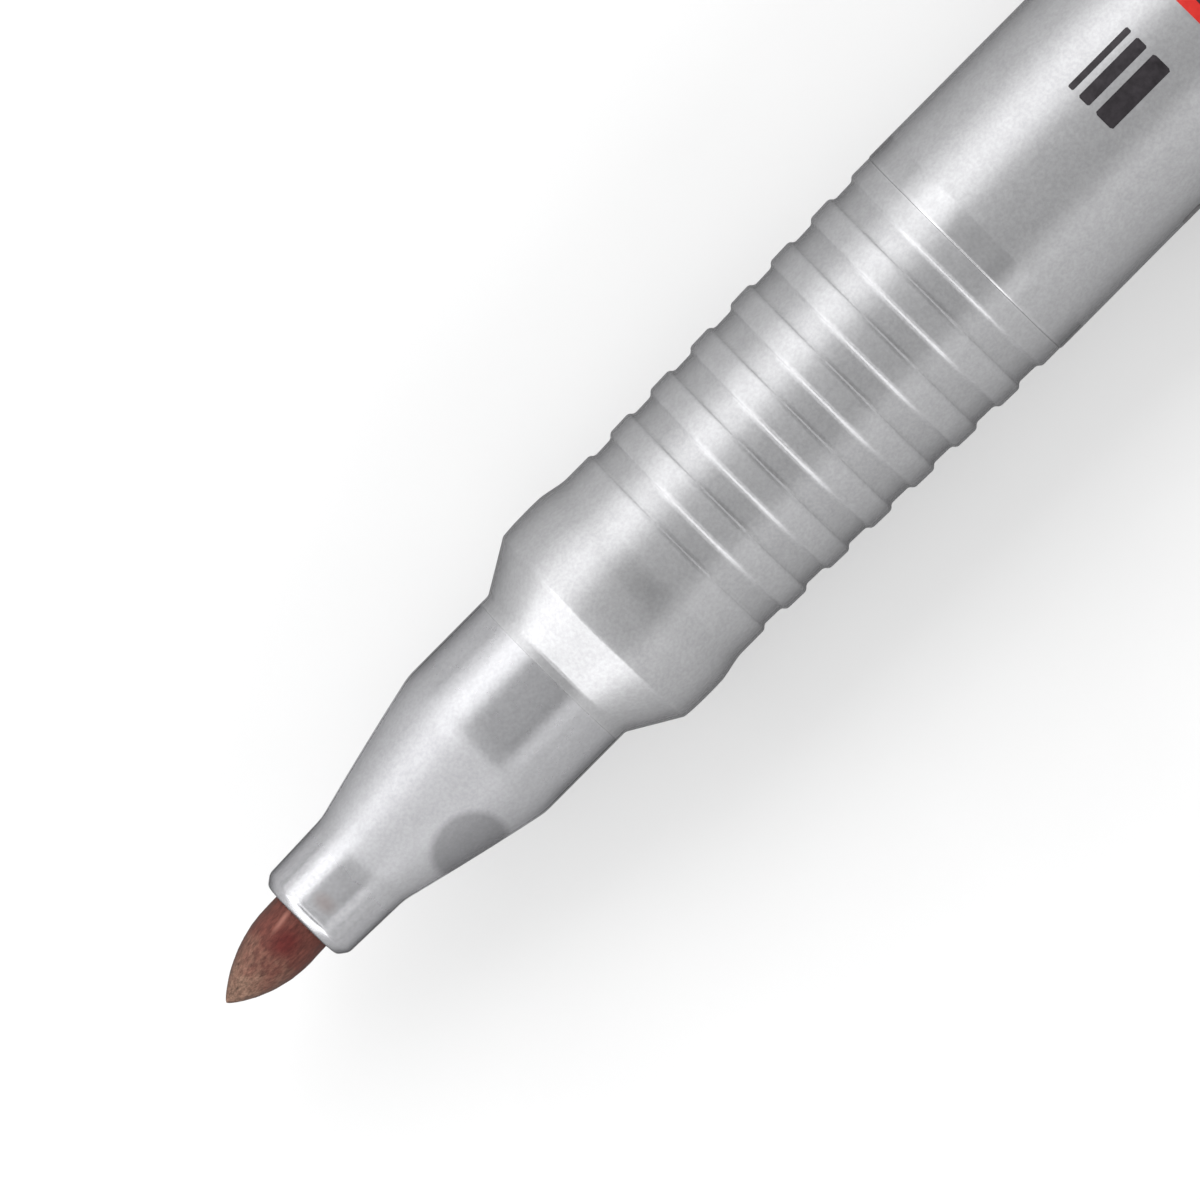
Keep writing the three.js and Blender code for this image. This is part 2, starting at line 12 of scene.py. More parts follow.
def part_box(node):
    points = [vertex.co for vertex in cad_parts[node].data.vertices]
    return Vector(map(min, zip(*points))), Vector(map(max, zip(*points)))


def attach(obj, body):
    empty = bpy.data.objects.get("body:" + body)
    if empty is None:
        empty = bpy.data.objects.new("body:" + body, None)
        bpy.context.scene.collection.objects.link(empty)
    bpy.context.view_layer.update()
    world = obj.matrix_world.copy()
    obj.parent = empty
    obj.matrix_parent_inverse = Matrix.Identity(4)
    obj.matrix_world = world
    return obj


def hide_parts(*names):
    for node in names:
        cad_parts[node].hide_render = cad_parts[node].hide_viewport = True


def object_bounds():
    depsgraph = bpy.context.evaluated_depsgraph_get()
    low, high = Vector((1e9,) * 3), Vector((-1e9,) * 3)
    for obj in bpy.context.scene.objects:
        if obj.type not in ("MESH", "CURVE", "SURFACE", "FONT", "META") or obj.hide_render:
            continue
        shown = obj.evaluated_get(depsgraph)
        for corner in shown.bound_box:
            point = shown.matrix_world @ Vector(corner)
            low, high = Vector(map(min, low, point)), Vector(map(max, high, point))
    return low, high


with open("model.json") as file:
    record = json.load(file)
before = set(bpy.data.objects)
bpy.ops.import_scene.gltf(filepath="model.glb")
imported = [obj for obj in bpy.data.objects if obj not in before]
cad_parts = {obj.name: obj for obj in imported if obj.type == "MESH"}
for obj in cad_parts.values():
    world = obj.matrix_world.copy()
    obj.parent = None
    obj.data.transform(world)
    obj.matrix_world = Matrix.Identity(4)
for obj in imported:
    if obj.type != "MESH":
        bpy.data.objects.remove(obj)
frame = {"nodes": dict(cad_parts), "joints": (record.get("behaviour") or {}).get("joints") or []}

MM = 0.001
CAD_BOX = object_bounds()
LENGTH = (CAD_BOX[1][0] - CAD_BOX[0][0]) / MM


def start_of(node):
    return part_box(node)[0][0] / MM + LENGTH / 2


def end_of(node):
    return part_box(node)[1][0] / MM + LENGTH / 2


def radius_of(node):
    low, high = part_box(node)
    return (high[1] - low[1]) / 2 / MM


def middle_of(node, axis):
    low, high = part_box(node)
    return (low[axis] + high[axis]) / 2 / MM


# The marker's axis in the row frame. CLIP_TURN is the clip's angle, counted from straight up towards -Y,
# which its hinge gives.
AXIS_Y = middle_of("barrel", 1)
AXIS_Z = middle_of("barrel", 2)
CLIP_HINGE = next(joint for joint in frame["joints"] if joint["name"] == "clip_bend")
CLIP_TURN = math.pi - math.atan2(CLIP_HINGE["axis"][2], -CLIP_HINGE["axis"][1])

# Gaps between the pieces.
FIT = 0.05
SEAM = 0.003
END_GAP = 0.15
LINER_GAP = 0.3
CLIP_CLEARANCE = 0.25

# Radii of the nib and the nose.
NIB_R = radius_of("nib")
NIB_BORE_R = NIB_R + FIT
NIB_TAIL_R = 0.8
NOZZLE_R = 2.8
LIP_R = NOZZLE_R - 0.49
LIP_END_R = NOZZLE_R - 0.11
NECK_R = radius_of("nib_holder")
SPIGOT_R = NECK_R - 0.55
SPIGOT_BORE_R = SPIGOT_R - 1
CONE_BELLY = 0.045
AIR_CHANNEL_DEPTH = 0.38
AIR_CHANNEL_WIDTH = 0.5

# Radii of the grip and the barrel.
BARREL_R = radius_of("barrel")
BARREL_FRONT_R = BARREL_R - 0.05
BARREL_EASED_R = BARREL_R - 0.006
BARREL_EASE = 0.1
BARREL_BORE_R = BARREL_R - 1.2
LAP = 0.7
GRIP_BORE_R = 5
LAND_R = radius_of("grip_section")
COLLAR_R = BARREL_R - 0.312
COLLAR_SWELL = 0.01
COLLAR_CROWN = 0.07
WAIST_R = BARREL_R - 0.58
GROOVE_FRONT_R = BARREL_R - 0.778
GROOVE_REAR_R = BARREL_R - 0.251
INK_DEPTH = 0.004
INK_HEIGHT = 0.006

# The ribs of the grip.
RING_COUNT = 6
RING_PITCH = 2.811
RING_WIDTH = 1.65
RING_CHAMFER = 0.19
RING_HEIGHT = 0.23
RING_ROUND = 0.30
RING_FOOT = 0.30
STEP_SOFTNESS = 0.58

# Radii of the tail and the cap.
PLUG_BORE_R = 4.7
POST_BORE_R = NECK_R - 1.13
CAP_BORE_R = NECK_R + 0.1
CAP_MOUTH_R = BARREL_R - 0.35
CAP_END_R = radius_of("cap_crown")
CAP_POCKET_R = CAP_END_R - 0.85
BEAD_HEIGHT = 0.05
BEAD_LENGTH = 0.9
LINER_R = radius_of("cap_liner")
LINER_MOUTH_R = 4.2
LINER_NOTCH_R = 4.3
LINER_BORE_R = 2.95
LINER_TUBE_R = LINER_BORE_R + 0.95
CROWN_HOLLOW_R = 3
CROWN_BORE_R = 3.95
CROWN_NOTCH_R = 4.55
DOME_R = 4.4
DOME_SPREAD = 1.75
DOME_LENGTH = 1.25
GATE_R = 0.75
GATE_DEPTH = 0.15
VENT_COUNT = 3
VENT_WIDTH = 1.2
VENT_TURN = CLIP_TURN + math.pi / VENT_COUNT

# Stations of the nib and the nose, and how far the nib's tip leans to the side.
NIB_POINT = 4.4
NIB_LEAN = 0.2
NIB_SHOWN = 6.4
NIB_END_AT = end_of("nib")
NIB_TAPER_AT = NIB_END_AT - 1.8
NOZZLE_AT = start_of("nib_holder")
LIP_AT = NOZZLE_AT + 0.5
CONE_AT = NOZZLE_AT + 4.17
NECK_AT = CONE_AT + 7.72
NIB_HELD_AT = NOZZLE_AT + 10.6
FUNNEL_AT = NIB_HELD_AT + 1.348
NOSE_END_AT = end_of("nib_holder")

# Stations of the grip, the barrel and its print.
GRIP_AT = start_of("grip_section")
SHOULDER_AT = GRIP_AT + 0.525
COLLAR_AT = SHOULDER_AT + 2.515
FALL_AT = COLLAR_AT + 2.33
COLLAR_TOP_AT = FALL_AT - 0.4
WAIST_AT = FALL_AT + 1.825
GROOVE_AT = WAIST_AT + 1.685
RING_AT = GROOVE_AT + 1.11
LAND_AT = RING_AT + RING_COUNT * RING_PITCH
BARREL_AT = LAND_AT + 1.375
BARREL_BAND_AT = BARREL_AT + 1.53
GRIP_END_AT = end_of("grip_section")
PANEL_AT = BARREL_AT + 8.429
STROKES_AT = PANEL_AT + 0.75
STROKES_END_AT = STROKES_AT + 4
WRAP_AT = PANEL_AT + 7.95
WRAP_END_AT = WRAP_AT + 25.8
WRAP_EDGE = 0.67
BARREL_END_AT = end_of("barrel")

# Stations of the tail and the cap.
PLUG_AT = start_of("tail_plug")
PLUG_STEP_AT = PLUG_AT + 2
TAIL_SHOULDER_AT = BARREL_END_AT + 1.55
POST_AT = TAIL_SHOULDER_AT + 3.024
POST_END_AT = POST_AT + 5
POST_BORE_END_AT = POST_END_AT - 1.2
CAP_AT = start_of("cap_shell")
CAP_BORE_AT = CAP_AT + 2.292
CAP_BEAD_AT = CAP_AT + 4.5
CAP_POCKET_AT = CAP_AT + 12.5
CAP_END_AT = end_of("cap_shell")
LINER_AT = start_of("cap_liner")
LINER_FLANGE_AT = LINER_AT + 1.6
LINER_BORE_AT = LINER_AT + 2.7
LINER_BORE_END_AT = LINER_BORE_AT + 11
LINER_END_AT = end_of("cap_liner")
CROWN_FRONT_AT = start_of("cap_crown")
CROWN_HEAD_AT = LENGTH - 2 * DOME_LENGTH
CROWN_FLOOR_AT = CROWN_HEAD_AT + 0.9

# The clip. Its root goes through the shell's slot, its foot hooks under the shell, and its bump holds a
# pocket's edge.
CLIP_AT = start_of("cap_clip")
CLIP_END_AT = end_of("cap_clip")
CLIP_ROOT_AT = CLIP_END_AT - 3
CLIP_FOOT_AT = CLIP_ROOT_AT - 1
CLIP_BUMP_AT = CLIP_AT + 0.8
CLIP_BUMP_LENGTH = 3.0
CLIP_BUMP_GAP = 0.3
CLIP_WIDTH = 4
CLIP_FOOT_R = 3.858
CLIP_FOOT_TOP_R = CLIP_FOOT_R + 0.8
CLIP_INNER_R = BARREL_R + 1.2
CLIP_OUTER_R = CLIP_INNER_R + 1.2
CLIP_EDGE = 0.32

# How finely the pieces are made, how much of a side a fillet may take, and which edges are sharp or worn.
SEGMENTS = 224
NIB_STEPS = 110
CURVE_STEPS = 12
ARC_STEP = math.radians(12)
HARDLY_TURNED = math.radians(3)
CORNER_SHARE = 0.48
SHARP_ANGLE = math.radians(35)
WORN_FILLET = 0.3
WEAR_FADE = 0.1


def axial(station):
    return (station - LENGTH / 2) * MM


def at(station, radius, angle):
    """A point of the row frame. The angle is counted from straight up towards -Y."""
    y = AXIS_Y - radius * math.sin(angle)
    z = AXIS_Z + radius * math.cos(angle)
    return (axial(station), y * MM, z * MM)


def lerp(a, b, t):
    return a + (b - a) * t


# Outlines. A corner is (station, radius, fillet), and the outline runs out, along the outside towards the
# tail and back along the inside, or starts and ends on the axis.

class Point:
    def __init__(self, place, normal, edge=0.0):
        self.place = place
        self.normal = normal
        self.edge = edge


def side_normal(direction):
    return Vector((-direction.y, direction.x))


def turned_by(vector, angle):
    c, s = math.cos(angle), math.sin(angle)
    return Vector((c * vector.x - s * vector.y, s * vector.x + c * vector.y))


def neighbours(items, closed):
    """Each item with the one after it, and the last with the first where the items go round."""
    after = items[1:] + items[:1] if closed else items[1:]
    return list(zip(items, after))


def corner_points(before, corner, after, fillet):
    """The rounded corner, as points of an arc. edge is 1 on a sharp outer edge and -1 in a sharp recess."""
    into = (corner - before).normalized()
    out = (after - corner).normalized()
    turn = math.atan2(into.x * out.y - into.y * out.x, into.dot(out))
    if abs(turn) < HARDLY_TURNED or fillet <= 0:
        return [Point(corner, (side_normal(into) + side_normal(out)).normalized())]
    room = CORNER_SHARE * min((corner - before).length, (after - corner).length)
    reach = min(fillet * math.tan(abs(turn) / 2), room)
    radius = reach / math.tan(abs(turn) / 2)
    sign = 1 if turn > 0 else -1
    centre = corner - into * reach + side_normal(into) * radius * sign
    steps = max(2, math.ceil(abs(turn) / ARC_STEP))
    sharp = 1 if fillet < WORN_FILLET else 0
    points = []
    for i in range(steps + 1):
        normal = turned_by(side_normal(into), turn * i / steps)
        points.append(Point(centre - normal * radius * sign, normal, -sign * sharp))
    return points


def outline_points(corners):
    """The points of an outline, and whether it is closed or starts and ends on the axis."""
    closed = corners[0][1] != 0
    places = [Vector((station, radius)) for station, radius, _ in corners]
    last = len(corners) - 1
    points = []
    for i, (_, _, fillet) in enumerate(corners):
        if not closed and i in (0, last):
            before = places[max(i - 1, 0)]
            after = places[min(i + 1, last)]
            points.append(Point(places[i], side_normal((after - before).normalized())))
        else:
            after = places[(i + 1) % len(places)]
            points += corner_points(places[i - 1], places[i], after, fillet)
    return faded(points, closed), closed


def faded(points, closed):
    """Adds a point a little way from each worn edge or darkened recess, so that the wear and the darkening
    stay at the corner.
    """
    spaced = []
    for point, after in neighbours(points, closed):
        spaced.append(point)
        gap = after.place - point.place
        if gap.length < 3 * WEAR_FADE or point.edge == after.edge == 0:
            continue
        normal = side_normal(gap.normalized())
        if point.edge:
            spaced.append(Point(point.place + gap.normalized() * WEAR_FADE, normal))
        if after.edge:
            spaced.append(Point(after.place - gap.normalized() * WEAR_FADE, normal))
    if not closed:
        spaced.append(points[-1])
    return spaced


def link(name, data):
    """A new object in the scene, for a mesh, a lamp or a camera."""
    made = bpy.data.objects.new(name, data)
    bpy.context.scene.collection.objects.link(made)
    return made


def mesh_of(name, grid):
    """Turns the grid of bmesh into a mesh with its faces outwards."""
    bmesh.ops.recalc_face_normals(grid, faces=grid.faces)
    mesh = bpy.data.meshes.new(name)
    grid.to_mesh(mesh)
    grid.free()
    return mesh


def turned(name, corners, reshape=None, soft=None):
    """A turned piece. reshape(station, radius, angle) gives a vertex another radius, for notches and fuzz.
    soft is a stretch of stations where the steps catch the light as gentler ones."""
    points, closed = outline_points(corners)
    verts, normals, edges, rings = [], [], [], []
    for point in points:
        station, radius = point.place
        ring = []
        for j in range(1 if radius == 0 else SEGMENTS):
            angle = 2 * math.pi * j / SEGMENTS
            r = reshape(station, radius, angle) if reshape and radius > 0 else radius
            ring.append(len(verts))
            verts.append(at(station, r, angle))
            along, out = point.normal
            if soft and soft[0] < station < soft[1]:
                along *= STEP_SOFTNESS
            normals.append((along, -out * math.sin(angle), out * math.cos(angle)))
            edges.append(point.edge)
        rings.append(ring)
    faces = []
    for first, second in neighbours(rings, closed):
        for j in range(SEGMENTS):
            k = (j + 1) % SEGMENTS
            if len(first) == 1:
                faces.append((first[0], second[k], second[j]))
            elif len(second) == 1:
                faces.append((first[j], first[k], second[0]))
            else:
                faces.append((first[j], first[k], second[k], second[j]))
    mesh = bpy.data.meshes.new(name)
    mesh.from_pydata(verts, [], faces)
    mesh.attributes.new("edge", "FLOAT", "POINT").data.foreach_set("value", edges)
    mesh.shade_smooth()
    if reshape is None:
        mesh.normals_split_custom_set_from_vertices(normals)
    else:
        mesh.set_sharp_from_angle(angle=SHARP_ANGLE)
    return link(name, mesh)


def evaluated(piece):
    """Applies the piece's modifiers."""
    graph = bpy.context.evaluated_depsgraph_get()
    mesh = bpy.data.meshes.new_from_object(piece.evaluated_get(graph))
    piece.modifiers.clear()
    piece.data = mesh
    return piece


def clip_point(station, height, side):
    """A point of the row frame, by its height above the axis towards the clip and its place to the side."""
    out = Vector((0, -math.sin(CLIP_TURN), math.cos(CLIP_TURN)))
    across = Vector((0, math.cos(CLIP_TURN), math.sin(CLIP_TURN)))
    centre = Vector((0, AXIS_Y * MM, AXIS_Z * MM))
    return Vector((axial(station), 0, 0)) + centre + (out * height + across * side) * MM


def slot_cutter(start, end, high):
    """A block that cuts the clip's slot between two stations, from under the clip's foot to a height."""
    low = CLIP_FOOT_R - CLIP_CLEARANCE
    width = CLIP_WIDTH + 2 * CLIP_CLEARANCE
    grid = bmesh.new()
    bmesh.ops.create_cube(grid, size=1)
    for vertex in grid.verts:
        station = lerp(start, end, vertex.co.x + 0.5)
        height = lerp(low, high, vertex.co.z + 0.5)
        vertex.co = clip_point(station, height, width * vertex.co.y)
    return link("cutter", mesh_of("cutter", grid))


def cut(piece, cutter):
    boolean = piece.modifiers.new("cut", "BOOLEAN")
    boolean.object = cutter
    boolean.operation = "DIFFERENCE"
    boolean.solver = "EXACT"
    evaluated(piece)
    bpy.data.objects.remove(cutter)
    piece.data.shade_smooth()
    piece.data.set_sharp_from_angle(angle=SHARP_ANGLE)
    weighted = piece.modifiers.new("normals", "WEIGHTED_NORMAL")
    weighted.keep_sharp = True
    return evaluated(piece)


def vented(floor_radius, rim_radius):
    """A reshape that lets the notches of the cap's vents into a rim, down to a floor."""
    def reshape(station, radius, angle):
        if radius <= floor_radius:
            return radius
        for i in range(VENT_COUNT):
            centre = VENT_TURN + 2 * math.pi * i / VENT_COUNT
            away = (angle - centre + math.pi) % (2 * math.pi) - math.pi
            if abs(away) * rim_radius < VENT_WIDTH / 2:
                return floor_radius
        return radius
    return reshape


# Nodes for the materials. Most values of a noise lie between these two.

NOISE_LOW = 0.3
NOISE_HIGH = 0.7


class Paint:
    """A material with a Principled shader and a few helpers."""

    def __init__(self, name, **sockets):
        self.material = bpy.data.materials.new(name)
        self.material.use_nodes = True
        self.tree = self.material.node_tree
        self.shader = next(n for n in self.tree.nodes if n.type == "BSDF_PRINCIPLED")
        self.place = self.node("ShaderNodeTexCoord").outputs["Object"]
        for socket, value in sockets.items():
            self.shader.inputs[socket.replace("_", " ")].default_value = value

    def node(self, kind, **settings):
        made = self.tree.nodes.new(kind)
        for key, value in settings.items():
            setattr(made, key, value)
        return made

    def join(self, source, target):
        self.tree.links.new(source, target)

    def feed(self, value, target):
        """Joins another node's socket to this one, or sets it to a number or a colour."""
        if isinstance(value, bpy.types.NodeSocket):
            self.join(value, target)
        elif isinstance(value, tuple):
            target.default_value = (*value, 1)
        else:
            target.default_value = value

    def noise(self, scale, detail=3.0, stretch=None, roughness=0.55):
        made = self.node("ShaderNodeTexNoise")
        made.inputs["Scale"].default_value = scale
        made.inputs["Detail"].default_value = detail
        made.inputs["Roughness"].default_value = roughness
        place = self.place
        if stretch:
            mapping = self.node("ShaderNodeMapping")
            mapping.inputs["Scale"].default_value = stretch
            self.join(place, mapping.inputs["Vector"])
            place = mapping.outputs["Vector"]
        self.join(place, made.inputs["Vector"])
        return made.outputs["Fac"]

    def spread(self, source, low, high, out_low, out_high):
        made = self.node("ShaderNodeMapRange")
        sockets = ("From Min", "From Max", "To Min", "To Max")
        for socket, value in zip(sockets, (low, high, out_low, out_high)):
            made.inputs[socket].default_value = value
        self.join(source, made.inputs["Value"])
        return made.outputs["Result"]

    def ramp(self, source, stops):
        made = self.node("ShaderNodeValToRGB")
        ramp = made.color_ramp
        while len(ramp.elements) < len(stops):
            ramp.elements.new(0.5)
        for element, (position, color) in zip(ramp.elements, stops):
            element.position = position
            element.color = (*color, 1)
        self.join(source, made.inputs["Fac"])
        return made.outputs["Color"]

    def blend(self, noise, dark, light):
        """A colour that goes from dark to light as the noise grows."""
        return self.ramp(noise, [(NOISE_LOW, dark), (NOISE_HIGH, light)])

    def vary(self, noise, low, high):
        """A number that goes from low to high as the noise grows."""
        return self.spread(noise, NOISE_LOW, NOISE_HIGH, low, high)

    def mix(self, factor, first, second, blend="MIX"):
        made = self.node("ShaderNodeMix", data_type="RGBA", blend_type=blend)
        sockets = {s.identifier: s for s in made.inputs}
        for value, socket in ((factor, "Factor_Float"), (first, "A_Color"), (second, "B_Color")):
            self.feed(value, sockets[socket])
        return next(s for s in made.outputs if s.identifier == "Result_Color")

    def math(self, operation, first, second):
        made = self.node("ShaderNodeMath", operation=operation)
        self.feed(first, made.inputs[0])
        self.feed(second, made.inputs[1])
        return made.outputs[0]

    def edge(self):
        return self.node("ShaderNodeAttribute", attribute_name="edge").outputs["Fac"]

    def along(self):
        """Millimetres from the nib's tip."""
        split = self.node("ShaderNodeSeparateXYZ")
        self.join(self.place, split.inputs[0])
        metres = self.math("MULTIPLY", split.outputs["X"], 1 / MM)
        return self.math("ADD", metres, LENGTH / 2)

    def upward(self):
        """1 where the surface faces up, and 0 where it stands upright."""
        split = self.node("ShaderNodeSeparateXYZ")
        self.join(self.node("ShaderNodeTexCoord").outputs["Normal"], split.inputs[0])
        return split.outputs["Z"]

    def away(self, centre, size, turn=0.0):
        """The distance from a centre, counted in the half sizes of an ellipsoid that is turned about Z."""
        shift = self.node("ShaderNodeVectorMath", operation="SUBTRACT")
        self.join(self.place, shift.inputs[0])
        shift.inputs[1].default_value = centre
        turned_place = self.node("ShaderNodeVectorRotate", rotation_type="Z_AXIS")
        turned_place.inputs["Angle"].default_value = -turn
        self.join(shift.outputs[0], turned_place.inputs["Vector"])
        scaled = self.node("ShaderNodeVectorMath", operation="DIVIDE")
        self.join(turned_place.outputs[0], scaled.inputs[0])
        scaled.inputs[1].default_value = [side * MM for side in size]
        length = self.node("ShaderNodeVectorMath", operation="LENGTH")
        self.join(scaled.outputs[0], length.inputs[0])
        return length.outputs["Value"]

    def depth(self, start, end):
        """Millimetres from the nearer of two stations, and negative where it isn't between them."""
        along = self.along()
        return self.math("MINIMUM", self.math("SUBTRACT", along, start), self.math("SUBTRACT", end, along))

    def band(self, start, end, fade, inside):
        """One value between two stations and 1 elsewhere, with a fade on each side of the two."""
        return self.spread(self.depth(start, end), -fade, fade, 1, inside)

    def grooves(self):
        """1 in the grooves between the ribs of the grip, and 0 elsewhere."""
        from_rib = self.math("SUBTRACT", self.along(), RING_AT + RING_WIDTH / 2)
        from_rib = self.math("PINGPONG", from_rib, RING_PITCH / 2)
        between = self.spread(from_rib, RING_WIDTH / 2 - RING_CHAMFER, RING_WIDTH / 2, 0, 1)
        ribbed = self.spread(self.depth(GROOVE_AT, LAND_AT), 0, 0.05, 0, 1)
        return self.math("MULTIPLY", between, ribbed)

    def bump(self, height, strength, distance):
        made = self.node("ShaderNodeBump")
        self.feed(strength, made.inputs["Strength"])
        made.inputs["Distance"].default_value = distance
        self.join(height, made.inputs["Height"])
        self.join(made.outputs["Normal"], self.shader.inputs["Normal"])

    def color(self, source):
        self.join(source, self.shader.inputs["Base Color"])

    def roughness(self, source):
        self.join(source, self.shader.inputs["Roughness"])


# Patches of colour: centre, half sizes in millimetres and, for the pale streak of the nib, turn about Z.
SOAK_AT = at(4.1, NIB_R, 0.12)
SOAK_SIZE = (0.95, 0.8, 1.1)
PALE_STREAK_AT = at(4.8, NIB_R, -0.42)
PALE_STREAK_SIZE = (1.05, 0.17, 1.2)
PALE_STREAK_TURN = 0.147
# A painted dark reflection on the cone.
DARK_REFLECTION_AT = at(13.65, 3.77, math.radians(58))
DARK_REFLECTION_SIZE = (2.2, 1.95, 4.0)
INK_TRACE_AT = at(6.85, NOZZLE_R, 0.07)
INK_TRACE_SIZE = (0.55, 0.8, 0.8)

# Colours painted on the silver plastic: painted shade for the grooves, darker recesses, worn edges, a
# painted dark reflection and a trace of ink.
BLACK = (0.0, 0.0, 0.0)
WORN_SILVER = (0.60, 0.60, 0.61)
RECESS_DARK = (0.22, 0.22, 0.23)
DARK_REFLECTION = (0.10, 0.10, 0.105)
INK_TRACE = (0.22, 0.13, 0.10)


def silver_paint(name, dark, light, rough, grain, relief, bands):
    """Pearly metallic plastic. A band is two stations, the fade at each, and what changes the roughness and
    the relief of the grain between them."""
    paint = Paint(name, Metallic=0.85)
    paint.shader.inputs["Specular Tint"].default_value = (0.05, 0.05, 0.05, 1)
    color = paint.blend(paint.noise(1400, 4), dark, light)
    flakes = paint.spread(paint.noise(5600, 3), 0.35, 0.65, 1 - grain, 1 + grain)
    color = paint.mix(1.0, color, flakes, "MULTIPLY")
    # Painted shade: the grooves between the ribs are darkened towards black.
    color = paint.mix(paint.spread(paint.grooves(), 0, 1, 0, 0.065), color, BLACK)
    color = paint.mix(paint.spread(paint.edge(), 0, 1, 0, 0.12), color, WORN_SILVER)
    # Sharp recesses are painted a little darker.
    color = paint.mix(paint.spread(paint.edge(), -1, 0, 0.04, 0), color, RECESS_DARK)
    # Painted reflection: a dark patch on the cone.
    near_dark_reflection = paint.away(DARK_REFLECTION_AT, DARK_REFLECTION_SIZE)
    color = paint.mix(paint.spread(near_dark_reflection, 1.0, 0.8, 0, 0.5), color, DARK_REFLECTION)
    near_trace = paint.away(INK_TRACE_AT, INK_TRACE_SIZE)
    color = paint.mix(paint.spread(near_trace, 1.0, 0.3, 0, 0.3), color, INK_TRACE)
    paint.color(color)
    roughness = paint.vary(paint.noise(2600, 3), *rough)
    strength = relief
    for start, end, fade, rougher, grainier in bands:
        roughness = paint.math("MULTIPLY", roughness, paint.band(start, end, fade, rougher))
        strength = paint.math("MULTIPLY", paint.band(start, end, fade, grainier), strength)
    paint.roughness(roughness)
    paint.bump(paint.noise(5000, 3), strength, 0.00002)
    return paint.material


def red_plastic():
    """Moulded plastic with a satin skin, fine scuffs and marks drawn lengthwise when it left its mould."""
    paint = Paint("red_plastic", IOR=1.5)
    paint.shader.inputs["Specular IOR Level"].default_value = 0.4
    base = paint.blend(paint.noise(420, 4), (0.400, 0.013, 0.013), (0.435, 0.017, 0.016))
    wear = paint.spread(paint.edge(), 0, 1, 0, 0.2)
    paint.color(paint.mix(wear, base, (0.62, 0.085, 0.075)))
    scuffs = paint.noise(1900, 5, (0.6, 1, 1))
    rough = paint.spread(scuffs, 0.3, 0.75, 0.26, 0.34)
    drawn = paint.spread(paint.noise(2400, 3, (0.03, 1, 1)), 0.55, 0.75, 0, 0.16)
    paint.roughness(paint.math("ADD", rough, drawn))
    paint.bump(paint.noise(6800, 2), 0.22, 0.000012)
    return paint.material


def white_plastic():
    paint = Paint("white_plastic", Subsurface_Weight=0.15, IOR=1.5)
    paint.shader.inputs["Subsurface Radius"].default_value = (0.0012, 0.001, 0.0009)
    paint.color(paint.blend(paint.noise(500, 3), (0.74, 0.72, 0.67), (0.82, 0.80, 0.75)))
    paint.roughness(paint.vary(paint.noise(1800, 3), 0.42, 0.55))
    paint.bump(paint.noise(3000, 2), 0.15, 0.000006)
    return paint.material


def film_plastic():
    paint = Paint("film_plastic", IOR=1.45, Transmission_Weight=0.35)
    paint.color(paint.blend(paint.noise(300, 3), (0.62, 0.30, 0.28), (0.78, 0.50, 0.47)))
    paint.roughness(paint.vary(paint.noise(900, 3), 0.18, 0.3))
    paint.bump(paint.noise(600, 2, (0.3, 1, 1)), 0.2, 0.00002)
    return paint.material


def reservoir_fibre():
    paint = Paint("reservoir_fibre")
    strands = paint.noise(3500, 4, (0.03, 1, 1))
    paint.color(paint.blend(strands, (0.20, 0.015, 0.015), (0.42, 0.05, 0.05)))
    paint.roughness(paint.vary(strands, 0.75, 0.95))
    paint.bump(strands, 0.6, 0.00005)
    return paint.material


def nib_fibre():
    """Inked fibre: brown red at the root with a soaked patch, tan and open near the point."""
    paint = Paint("nib_fibre")
    paint.shader.inputs["Specular IOR Level"].default_value = 0.12
    strands = paint.noise(6200, 6, (0.35, 1, 1), 0.7)
    root = paint.ramp(strands, [(0.33, (0.060, 0.019, 0.015)), (0.67, (0.150, 0.050, 0.039))])
    soaked = paint.ramp(strands, [(0.33, (0.055, 0.009, 0.009)), (0.67, (0.110, 0.020, 0.018))])
    tip = paint.ramp(strands, [(0.32, (0.045, 0.024, 0.017)), (0.68, (0.25, 0.147, 0.105))])
    patches = paint.vary(paint.noise(1300, 3), -0.9, 0.9)
    reach = paint.math("ADD", paint.along(), patches)
    fibres = paint.mix(paint.spread(reach, 3.6, 1.0, 0, 1), root, tip)
    near_soak = paint.away(SOAK_AT, SOAK_SIZE)
    fibres = paint.mix(paint.spread(near_soak, 1.1, 0.35, 0, 0.9), fibres, soaked)
    # A pale streak along the nib.
    near_pale_streak = paint.away(PALE_STREAK_AT, PALE_STREAK_SIZE, PALE_STREAK_TURN)
    fibres = paint.mix(paint.spread(near_pale_streak, 1.0, 0.2, 0, 0.8), fibres, (0.29, 0.125, 0.098))
    # Painted shade: the nib is darker where its surface stands upright, at its sides, than on its top.
    fibres = paint.mix(paint.spread(paint.upward(), 0.72, 0.15, 0, 0.85), fibres, (0.035, 0.017, 0.014))
    paint.color(fibres)
    paint.roughness(paint.vary(strands, 0.55, 0.8))
    paint.bump(strands, 0.8, 0.00003)
    return paint.material


def ink(name, dark, light):
    paint = Paint(name, IOR=1.48)
    paint.shader.inputs["Specular IOR Level"].default_value = 0.22
    paint.color(paint.blend(paint.noise(2200, 4), dark, light))
    paint.roughness(paint.vary(paint.noise(3200, 3), 0.34, 0.48))
    paint.bump(paint.noise(6000, 2), 0.2, 0.000003)
    return paint.material


